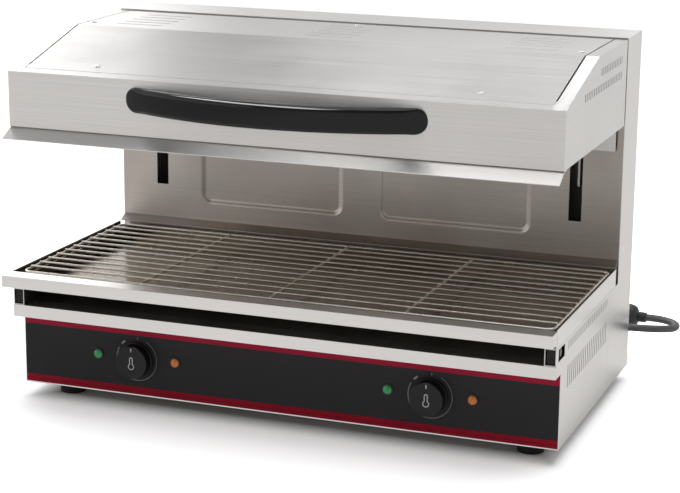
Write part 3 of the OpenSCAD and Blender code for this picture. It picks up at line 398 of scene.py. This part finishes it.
def panel_print():
    """The panel's film: charcoal with red bands and a ring of marks around each knob."""
    s = Shader("panel_print", (0.016, 0.0155, 0.0165), 0.55, Specular_IOR_Level=0.18)
    place = s.axes()
    x, z = place["X"], place["Z"]
    top_band, bottom_band, fine_line = (0.1115, 0.130), (0.0238, 0.0352), (0.0285, 0.0294)
    knob_x, knob_z = KNOB_X / 1000, KNOB_Z / 1000
    ring_r = 0.0311
    arc_turn, block_turn, start_turn = (28, 300), (312, 325), (2, 4.4)   # degrees from straight up
    arc_half = (0.00035, 0.0010)        # the arc's half width grows from its start to its end

    def band(value, low, high, soft=0.0002):
        """1 where value lies between low and high."""
        return s.math("MULTIPLY", s.fit(value, low - soft, low + soft, 0, 1),
                      s.fit(value, high - soft, high + soft, 1, 0))

    uneven = s.noise(14.0, detail=3.0)
    colour = s.mix(s.fit(uneven, 0.3, 0.7, 0, 1), (0.036, 0.0335, 0.036), (0.043, 0.040, 0.043))
    colour = s.mix(band(z, *top_band), colour, (0.50, 0.014, 0.055))
    colour = s.mix(band(z, *bottom_band), colour, (0.52, 0.006, 0.034))
    colour = s.mix(band(z, *fine_line), colour, (0.20, 0.006, 0.014))

    right = s.math("GREATER_THAN", x, 0.0)
    u = s.math("SUBTRACT", s.math("ADD", x, knob_x), s.math("MULTIPLY", right, 2 * knob_x))
    w = s.math("SUBTRACT", z, knob_z)
    radius = s.length(u, w)
    turn = s.math("DEGREES", s.math("ARCTAN2", u, w))
    turn = s.math("ADD", turn, s.math("MULTIPLY", s.math("LESS_THAN", turn, 0.0), 360.0))
    off = s.math("ABSOLUTE", s.math("SUBTRACT", radius, ring_r))
    arc = s.math("MULTIPLY", s.math("LESS_THAN", off, s.fit(turn, *arc_turn, *arc_half)),
                 band(turn, *arc_turn, 0.5))
    broad = s.math("MULTIPLY", s.math("LESS_THAN", off, 0.0013), band(turn, *block_turn, 0.5))
    start = s.math("MULTIPLY", band(radius, 0.0290, 0.0328), band(turn, *start_turn, 0.3))
    marks = s.math("MAXIMUM", s.math("MULTIPLY", arc, 0.6),
                   s.math("MAXIMUM", broad, s.math("MULTIPLY", start, 0.5)))
    colour = s.mix(marks, colour, (0.52, 0.52, 0.51))
    s.link(colour, "Base Color")
    s.link(s.fit(uneven, 0.3, 0.7, 0.50, 0.60), "Roughness")
    s.bump(s.noise(1500.0, detail=2.0), 0.08, 0.0002)
    return s.material


film = panel_print()


# ---------------------------------------------------------------- CAD nodes

WEAR = {
    sheet: "base_side_left base_side_right control_panel front_rail column_side_left column_side_right "
           "column_top_cap column_back_cover hood_back_panel front_deflector tray_front_bar",
    sheet_hood: "hood_shell hood_top_cover",
    sheet_heat_tint_and_shade: "column_front_panel",
    sheet_inner: "base_floor deck_plate",
    runner_painted_shade: "tray_runner_left tray_runner_right",
    tray_tint_and_shade: "grill_tray",
    reflector_steel: "reflector",
    wire: "wire_grid",
    plain_steel: "guide_rod_brackets lift_arm_left lift_arm_right carriage_left carriage_right "
                 "carriage_bar strut_cylinders element_hangers",
    ground: "guide_rods strut_rods knob_spindle_left knob_spindle_right",
    zinc: "foot_screws cover_screws handle_screws back_cover_screws",
    sheath: "heating_element_left heating_element_right",
    film: "panel_overlay",
    gloss_black: "handle",
    knob_black: "knob_left knob_right",
    dull_black: "lamp_bezels cable_gland",
    green_lens: "power_lamp_lenses",
    amber_lens: "heat_lamp_lenses",
    bakelite: "thermostat_left thermostat_right terminal_block hood_terminals",
    rubber: "feet",
    cord_rubber: "power_cord_feed power_cord_lead power_cord_coil",
    cord_plastic: "power_plug",
    brass: "plug_pins",
    bronze: "guide_bushes",
    wool: "insulation",
}
for material, names in WEAR.items():
    for name in names.split():
        data = nodes[name].data
        data.materials.clear()
        data.materials.append(material)


# ---------------------------------------------------------------- power cord

FEED = [CORD_EXIT, (366, 284, 50), (366, 295, 48.5), (366, 306, 44), (366, 315, 37), (366, 322, 28),
        (366, 329, 18.5), (366, 338, 11.5), (366, 349, 7), (366, 360, 5.5), (363, 373, 5.5),
        (356, 386, 5.5), (346, 398, 5.5), (333, 407, 5.5), (319, 413, 5.5), (305, 415, 5.5),
        (291, 414, 5.5), (278, 411, 5.5), (265, 405, 5.5), (254, 397, 5.5), (242, 380, 5.5)]
LEAD = [(294, 290, 42), (310, 289.5, 43), (326, 286.5, 47), (342, 282, 54), (358, 277, 62.5),
        (374, 272.5, 69), (390, 268.5, 73), (402, 266.5, 74.5), (412, 266, 75), (423, 267.5, 75),
        (434, 272, 74.5), (443, 279, 73.5), (450, 288, 72), (455, 299, 70.5), (456, 310, 69.5),
        (455, 321, 68.5), (450, 332, 68), (443, 341, 67.5), (434, 348, 67), (423, 352.5, 67),
        (412, 354, 67), (398, 354, 67)]


def cord_route():
    """The feed down the back, a coil of three and a third turns on the ground, and the lead to the
    plug."""
    coil = []
    steps, first, sweep = 48, 150, 1200
    for i in range(1, steps):
        a = math.radians(first + sweep * i / steps)
        rise = CORD_R + (COIL_TOP - CORD_R) * i / steps
        coil.append((COIL_X + COIL_R * math.cos(a), COIL_Y + COIL_R * math.sin(a), rise))
    return FEED + coil + LEAD


def make_cord():
    """The cord as one round curve along its route."""
    curve = bpy.data.curves.new("power_cord", "CURVE")
    curve.dimensions = "3D"
    curve.resolution_u = 5
    curve.bevel_depth = CORD_R / 1000
    curve.bevel_resolution = 6
    curve.use_fill_caps = True
    spline = curve.splines.new("BEZIER")
    points = cord_route()
    spline.bezier_points.add(len(points) - 1)
    for knot, p in zip(spline.bezier_points, points):
        knot.co = mm(*p)
        knot.handle_left_type = knot.handle_right_type = "AUTO"
    curve.materials.append(cord_rubber)
    return link(curve, "power_cord")


def make_plug():
    """A round mains plug: a ribbed neck, a fluted taper and a body with a rounded rim."""
    bm = bmesh.new()
    body_r, length = 19, 64
    neck = []
    for i in range(4):
        h = 1.5 + i * 2.7
        neck += [(8, h), (8, h + 1.3), (7.1, h + 1.5), (7.1, h + 2.5)]
    taper = [(8, 12.3), (11, 13.2), (14.6, 15.2), (17, 18.5), (18.4, 22.5), (18.9, 27)]
    body = [(body_r, 31), (body_r, 44), (body_r, 58)] + rounded(body_r, length, 2)[1:]
    face = [(16, length), (15.4, length - 0.6)]
    flutes, flute_low, flute_high, flute_depth = 12, 19, 52, 0.8

    def flute(r, h, a):
        if not flute_low < h < flute_high:
            return r
        along = (h - flute_low) / (flute_high - flute_low)
        depth = flute_depth * math.sin(math.pi * along) ** 0.5
        return r - depth * max(0.0, math.cos(flutes * a)) ** 2

    lathe(bm, basis(mm(*PLUG_REAR), (-1, 0, 0)), [(7.2, 0)] + neck + taper + body + face, 96, flute)
    plug = finish_mesh(bm, "mains_plug")
    plug.data.materials.append(cord_plastic)
    return plug


def make_gland():
    """The relief around the cord: a hexagon nut on the cover, then a tapered sleeve with rings."""
    bm = bmesh.new()
    place = basis(mm(CORD_EXIT[0], BACK_Y, CORD_EXIT[2]), (0, 1, 0))
    nut = [(14.2, 0.02), (15, 0.8), (15, 7), (14, 7.4), (11, 8)]
    lathe(bm, place, nut, 96, hexagon(13.4, -math.inf, 7.5))
    sleeve = [(9.6, 8)]
    for i in range(6):
        r, h = 9.4 - 0.42 * i, 9.5 + 4.4 * i
        sleeve += [(r, h), (r, h + 2.6), (r - 1.1, h + 3.0), (r - 1.1, h + 4.0)]
    lathe(bm, place, sleeve + [(6.6, 36.5), (6.4, 38), (5.7, 38)], 48)
    lathe(bm, place, [(9.4, -9.8), (9.4, 0)], 48)
    gland = finish_mesh(bm, "cord_relief")
    gland.data.materials.append(dull_black)
    return gland


cord = make_cord()
plug = make_plug()
gland = make_gland()
for piece, material_slot, stands_for in (
        (cord, "cord_rubber", ("power_cord_feed", "power_cord_coil", "power_cord_lead")),
        (plug, "cord_rubber", ("power_plug",)), (gland, "black_plastic", ("cable_gland",))):
    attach(piece, "base")
    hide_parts(*stands_for)


# ---------------------------------------------------------------- handle and knobs

def make_handle():
    """The bowed grip: a rounded bar that swings out from the hood's face and back, with round ends."""
    bm = bmesh.new()
    face, axis_z = -192.8, 454          # the hood's face, and the height of the grip's middle
    bow, half_length, half_height, thick = 54.0, 216.0, 17.5, 16.0
    last_x = half_length - 0.15         # the end loops keep a little width
    outer = (half_length ** 2 + bow ** 2) / (2 * bow)   # the radius of the front's arc
    middle = face - bow + outer
    loops = []
    count, corner_steps = 96, 8
    for i in range(count + 1):
        x = -last_x * math.cos(math.pi * i / count)
        y0 = middle - math.sqrt(outer ** 2 - x * x)
        y1 = min(face, middle - math.sqrt((outer - thick) ** 2 - x * x))
        over_end = max(0.0, abs(x) - (half_length - half_height))
        h = math.sqrt(half_height ** 2 - over_end ** 2)
        c = min(7.0, (y1 - y0) * 0.48, h * 0.9)
        loop = []
        for cy, cz, a0 in ((y1 - c, h - c, 0), (y0 + c, h - c, 90),
                           (y0 + c, c - h, 180), (y1 - c, c - h, 270)):
            for k in range(corner_steps + 1):
                a = math.radians(a0 + 90 * k / corner_steps)
                loop.append(bm.verts.new(mm(x, cy + c * math.cos(a), axis_z + cz + c * math.sin(a))))
        loops.append(loop)
    rings(bm, loops)
    grip = finish_mesh(bm, "handle_grip")
    grip.data.materials.append(gloss_black)
    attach(grip, "hood")
    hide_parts("handle")
    return grip


def symbol_outline():
    """A plain thermometer outline, in mm, around a knob's axis: points of its middle line."""
    bulb, tube, low, top = 4.1, 2.1, -5.6, 5.6
    start = math.degrees(math.asin(tube / bulb))
    bulb_steps, tube_steps = 24, 12
    points = []
    for i in range(bulb_steps + 1):
        a = math.radians(90 - start - (360 - 2 * start) * i / bulb_steps)
        points.append((bulb * math.cos(a), low + bulb * math.sin(a)))
    for i in range(tube_steps + 1):
        a = math.radians(180 - 180 * i / tube_steps)
        points.append((tube * math.cos(a), top + tube * math.sin(a)))
    return points


def make_marks(bm, place, front):
    """The knob's pointer and symbol, printed a tenth of a mm proud of its face."""
    sunk, proud, half_stroke = 0.3, 0.1, 0.75

    def raised(loop_a, loop_b, closed):
        n = len(loop_a)
        levels = [[[bm.verts.new(place @ Vector(mm(x, y, h))) for x, y in loop]
                   for loop in (loop_a, loop_b)] for h in (front - sunk, front + proud)]
        (a0, b0), (a1, b1) = levels
        for k in range(n if closed else n - 1):
            j = (k + 1) % n
            bm.faces.new((a1[k], a1[j], b1[j], b1[k]))
            bm.faces.new((a0[k], a0[j], a1[j], a1[k]))
            bm.faces.new((b0[k], b0[j], b1[j], b1[k]))
        if not closed:
            for k in (0, n - 1):
                bm.faces.new((a0[k], b0[k], b1[k], a1[k]))

    path = symbol_outline()
    inner, outer = [], []
    n = len(path)
    for k, (x, y) in enumerate(path):
        (ax, ay), (bx, by) = path[k - 1], path[(k + 1) % n]
        t = Vector((bx - ax, by - ay)).normalized()
        inner.append((x - half_stroke * t.y, y + half_stroke * t.x))
        outer.append((x + half_stroke * t.y, y - half_stroke * t.x))
    raised(inner, outer, True)
    pointer = ((0.75, 15.6), (0.85, 18), (0.9, 21))
    raised([(-x, y) for x, y in pointer], pointer, False)


def make_knob(name, x):
    """A knob with a skirt, a slightly tapered grip and a shallow rim around its face."""
    front, face_in = 18.0, 0.3
    skirt_r, grip_r = 25.5, 23.8
    place = basis(mm(x, KNOB_SEAT_Y, KNOB_Z), (0, -1, 0))
    bm = bmesh.new()
    profile = [(23.5, 0), (skirt_r, 0.3), (skirt_r, 2.4)] + rounded(skirt_r, 3.6, 1.0)[1:]
    profile += [(24.35, 3.8), (24.2, 4.4)] + rounded(grip_r, front, 1.5, 6)
    profile += [(21.6, front), (21.1, front - 0.25), (20.5, front - face_in), (8, front - face_in)]
    lathe(bm, place, profile, 96)
    knob = finish_mesh(bm, name)
    knob.data.materials.append(knob_black)
    marks_mesh = bmesh.new()
    make_marks(marks_mesh, place, front - face_in)
    marks = finish_mesh(marks_mesh, name + "_marks", False)
    marks.data.materials.append(mark_white)
    for piece in (knob, marks):
        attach(piece, name)
    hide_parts(name)
    return knob


# ---------------------------------------------------------------- screws

HEAD_R, HEAD_H = 4.0, 1.6               # a screw's head, in mm


def screw_head(bm, point, axis, turn):
    """A pan head with a cross recess."""
    place = basis(mm(*point), axis) @ Matrix.Rotation(turn, 4, "Z")
    radii = [0.001, 0.09, 0.18, 0.27, 0.36, 0.45, 0.54, 0.62, 0.7, 0.8, 0.88, 0.95, 1.0]
    cross_half, cross_length, cross_depth = 0.13, 0.58, 0.55   # shares of the head's radius and height
    rim, dome = 0.35, 0.55
    segments = 48
    loops = []
    for q in radii:
        loop = []
        for k in range(segments):
            a = 2 * math.pi * k / segments
            x, y = q * math.cos(a), q * math.sin(a)
            z = HEAD_H * (1 - dome * q ** 6) if q < 1 else HEAD_H * rim
            near, far = sorted((abs(x), abs(y)))
            if near < cross_half and far < cross_length:
                z -= HEAD_H * cross_depth
            loop.append(bm.verts.new(place @ Vector(mm(HEAD_R * x, HEAD_R * y, z))))
        loops.append(loop)
    turns = [2 * math.pi * k / segments for k in range(segments)]
    loops.append([bm.verts.new(place @ Vector(mm(HEAD_R * math.cos(a), HEAD_R * math.sin(a), 0.02)))
                  for a in turns])
    rings(bm, loops)


def screws(name, places, node, body):
    """One piece with a screw head at each (point, axis), turned by chance."""
    bm = bmesh.new()
    for point, axis in places:
        screw_head(bm, point, axis, random.uniform(0, math.pi))
    heads = finish_mesh(bm, name)
    heads.data.materials.append(zinc)
    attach(heads, body)
    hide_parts(node)


def make_runner_shade_blocks():
    """A black block in the front of each runner, which stands for the shade inside its channel (painted
    shade), and the bolt that holds it, seen in the side's window."""
    x0, x1, z0, z1, edge = 383.2, 395.6, 147.8, 167.9, 0.8
    y0, y1 = -193.6, -175.2
    bolt_x, bolt_y, bolt_z = 388.0, -166.5, 157.6
    bolt_profile = [(7.6, 0), (7.6, 1.4), (7.2, 1.8), (6.4, 2.0), (6.4, 2.6), (6.4, 7.0), (5.6, 7.7),
                    (0.4, 7.7)]
    bm = bmesh.new()
    for side in (-1, 1):
        loops = []
        for y, inset in ((y0, edge), (y0 + edge, 0.0), (y1 - edge, 0.0), (y1, edge)):
            corners = ((x0 + inset, z0 + inset), (x1 - inset, z0 + inset),
                       (x1 - inset, z1 - inset), (x0 + inset, z1 - inset))
            loops.append([bm.verts.new(mm(side * x, y, z)) for x, z in corners])
        rings(bm, loops)
        bolt = basis(mm(side * bolt_x, bolt_y, bolt_z), (side, 0, 0))
        lathe(bm, bolt, bolt_profile, 48, hexagon(5.6, 2.5, math.inf))
    ends = finish_mesh(bm, "runner_shade_blocks_and_bolts", False)
    # The blocks are black to stand for the channels' shade: painted shade.
    ends.data.materials.append(knob_black)
    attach(ends, "base")


grip = make_handle()
make_runner_shade_blocks()
knobs = [make_knob("knob_left", -KNOB_X), make_knob("knob_right", KNOB_X)]
slope_up = (0, -0.2517, 0.9678)
level_places = [((x, y, COVER_TOP), (0, 0, 1)) for x, y in ((-366, 7.2), (366, 7.2), (0, 134.2))]
slope_places = [((x, -157.96, 490.06), slope_up) for x in (-276, 276)]
lowest, span, gaps = 82, 386, 3
back_places = [((x, BACK_Y, lowest + i * span / gaps), (0, 1, 0))
               for x in (-388.3, 388.3) for i in range(gaps + 1)]
screws("cover_screw_heads", level_places + slope_places, "cover_screws", "hood")
screws("back_screw_heads", back_places, "back_cover_screws", "base")


# ---------------------------------------------------------------- stage and light

FLOOR_SHOWN = 1.25                      # the floor's colour where the camera sees it, to look white
BASE_HALF_X, BASE_HALF_Y, BASE_MIDDLE_Y = 0.3975, 0.206, 0.039


def make_floor():
    """A pale floor that keeps the shadow. Where the camera sees it, a painted glow brightens it away
    from the base and lifts the shadow near it, and in reflections it is a graded card, with a painted
    shadow over and near the base."""
    bm = bmesh.new()
    reach = 9
    for x, y in ((-reach, -reach), (reach, -reach), (reach, reach), (-reach, reach)):
        bm.verts.new((x, y, 0))
    bm.faces.new(bm.verts)
    floor = finish_mesh(bm, "floor", False)
    s = Shader("floor", (0.85, 0.85, 0.85), 0.9)
    s.set("Specular IOR Level", 0.0)
    path = s.node("ShaderNodeLightPath")
    shown = s.math("MAXIMUM", path.outputs["Is Camera Ray"], path.outputs["Is Transmission Ray"])
    s.link(s.mix(shown, (0.85, 0.85, 0.85), (FLOOR_SHOWN, FLOOR_SHOWN, FLOOR_SHOWN)), "Base Color")
    place = s.axes()
    x, y = place["X"], place["Y"]
    away_x = s.math("SUBTRACT", s.math("ABSOLUTE", x), BASE_HALF_X)
    away_y = s.math("SUBTRACT", s.math("ABSOLUTE", s.math("SUBTRACT", y, BASE_MIDDLE_Y)), BASE_HALF_Y)
    away = s.math("MAXIMUM", away_x, away_y)
    # The glow is painted light: it grows with the distance from the base's footprint and lightens the
    # shadow beside the base.
    near_start, near_end, far_end = -0.035, 0.015, 0.5
    near = s.fit(away, near_start, near_end, 0.0, 0.42)
    far = s.fit(away, near_end, far_end, 0.0, 0.35, True)
    glow = s.math("MULTIPLY", shown, s.math("ADD", near, far))
    glow = s.node("ShaderNodeEmission", {"Strength": glow})
    lit = s.node("ShaderNodeAddShader", {0: s.bsdf.outputs[0], 1: glow.outputs[0]})
    level = s.math("MULTIPLY", s.fit(x, -2.0, -0.3, 0.60, 0.88), s.fit(y, -0.1, 0.6, 1.0, 0.88))
    # A painted shadow in reflections: the card is darkened over and near the base's footprint.
    level = s.math("MULTIPLY", level, s.fit(away, -0.03, 0.07, 0.04, 1.0, True))
    card = s.node("ShaderNodeEmission", {"Color": (1, 0.985, 0.97, 1), "Strength": level})
    both = s.node("ShaderNodeMixShader", {0: path.outputs["Is Glossy Ray"], 1: lit.outputs[0],
                                          2: card.outputs[0]})
    s.tree.links.new(both.outputs[0], s.tree.nodes["Material Output"].inputs[0])
    floor.data.materials.append(s.material)


def make_world():
    """White where the camera looks, a plain grey for diffuse light, and a softly graded room for
    reflections."""
    world = bpy.data.worlds.new("studio")
    bpy.context.scene.world = world
    world.use_nodes = True
    tree = world.node_tree
    tree.nodes.clear()

    def add(kind, inputs=(), **attributes):
        n = tree.nodes.new(kind)
        for key, value in attributes.items():
            setattr(n, key, value)
        for key, value in dict(inputs).items():
            if isinstance(value, bpy.types.NodeSocket):
                tree.links.new(value, n.inputs[key])
            else:
                n.inputs[key].default_value = value
        return n

    def combine(operation, a, b=0.0):
        return add("ShaderNodeMath", {0: a, 1: b}, operation=operation).outputs[0]

    def fit(value, a, b, c=0.0, d=1.0):
        return add("ShaderNodeMapRange", {0: value, 1: a, 2: b, 3: c, 4: d}).outputs[0]

    path = add("ShaderNodeLightPath")
    shown = combine("MAXIMUM", path.outputs["Is Camera Ray"], path.outputs["Is Transmission Ray"])
    x, y, z = add("ShaderNodeSeparateXYZ", {0: add("ShaderNodeTexCoord").outputs["Generated"]}).outputs
    height = add("ShaderNodeValToRGB", {0: z})
    stops = height.color_ramp.elements
    stops[0].position, stops[0].color = 0.0, (1, 1, 1, 1)
    stops[1].position, stops[1].color = 1.0, (0.26, 0.26, 0.26, 1)
    for position, grey in ((0.15, 1.14), (0.35, 0.90), (0.52, 0.58), (0.62, 0.62), (0.80, 0.24)):
        stops.new(position).color = (grey, grey, grey, 1)
    front = fit(y, 0.2, -0.5, 1.0, 0.62)                # dimmer behind the camera
    side = fit(x, -0.445, -0.402, 1.95, 0.74)           # a bright wall far to the left
    dip_at, dip_half, dip_depth = -0.40, 0.05, 0.06     # a slightly darker strip beside it, higher up
    dip = fit(combine("ABSOLUTE", combine("ADD", x, -dip_at)), 0.0, dip_half, dip_depth, 0.0)
    dip = combine("SUBTRACT", 1.0, combine("MULTIPLY", dip, fit(z, 0.35, 0.50)))
    graded = combine("MULTIPLY", combine("MULTIPLY", front, side), dip)
    room = add("ShaderNodeBackground", {0: height.outputs[0], 1: graded})
    plain = add("ShaderNodeBackground", {0: (1, 1, 1, 1), 1: 0.14})
    white = add("ShaderNodeBackground", {0: (1, 1, 1, 1), 1: 1.0})
    light = add("ShaderNodeMixShader", {0: path.outputs["Is Glossy Ray"], 1: plain.outputs[0],
                                        2: room.outputs[0]})
    choose = add("ShaderNodeMixShader", {0: shown, 1: light.outputs[0], 2: white.outputs[0]})
    add("ShaderNodeOutputWorld", {0: choose.outputs[0]})


def soft_box(name, place, aim, width, height, radiance, mirrored=True, scattered=True):
    """An area light of an even radiance. It is left out of reflections or out of scattered light if
    mirrored or scattered is False."""
    light = bpy.data.lights.new(name, "AREA")
    light.shape = "RECTANGLE"
    light.size, light.size_y = width, height
    light.energy = radiance * math.pi * width * height
    obj = link(light, name)
    obj.location = place
    obj.rotation_euler = (Vector(aim) - Vector(place)).to_track_quat("-Z", "Y").to_euler()
    obj.visible_glossy = mirrored
    obj.visible_diffuse = scattered
    return obj


make_floor()
make_world()
soft_box("overhead", (0.37, 0.4, 2.4), (0.37, 0.4, 0.0), 2.46, 1.5, 1.7)
soft_box("back_left", (-2.1, 1.5, 1.75), (0, 0, 0.45), 1.4, 1.3, 2.1)
soft_box("back_right", (0.25, 2.1, 2.25), (0.39, -0.1, 0.5), 0.4, 0.8, 8.0, scattered=False)
soft_box("overhead_front", (0.0, -0.85, 2.4), (0.0, -0.8, 0.0), 1.6, 1.0, 2.2, scattered=False)
soft_box("ceiling", (0, 0.45, 2.8), (0, 0.35, 0.0), 4.2, 2.8, 1.5, mirrored=False)
# The glint is a streak in the glossy black pieces alone.
glint = soft_box("glint", (-0.75, -0.80, 2.3), (0.0, -0.24, 0.45), 2.4, 0.6, 20.0, scattered=False)
shiny = bpy.data.collections.new("shiny_black")
for piece in (grip, *knobs):
    shiny.objects.link(piece)
glint.light_linking.receiver_collection = shiny
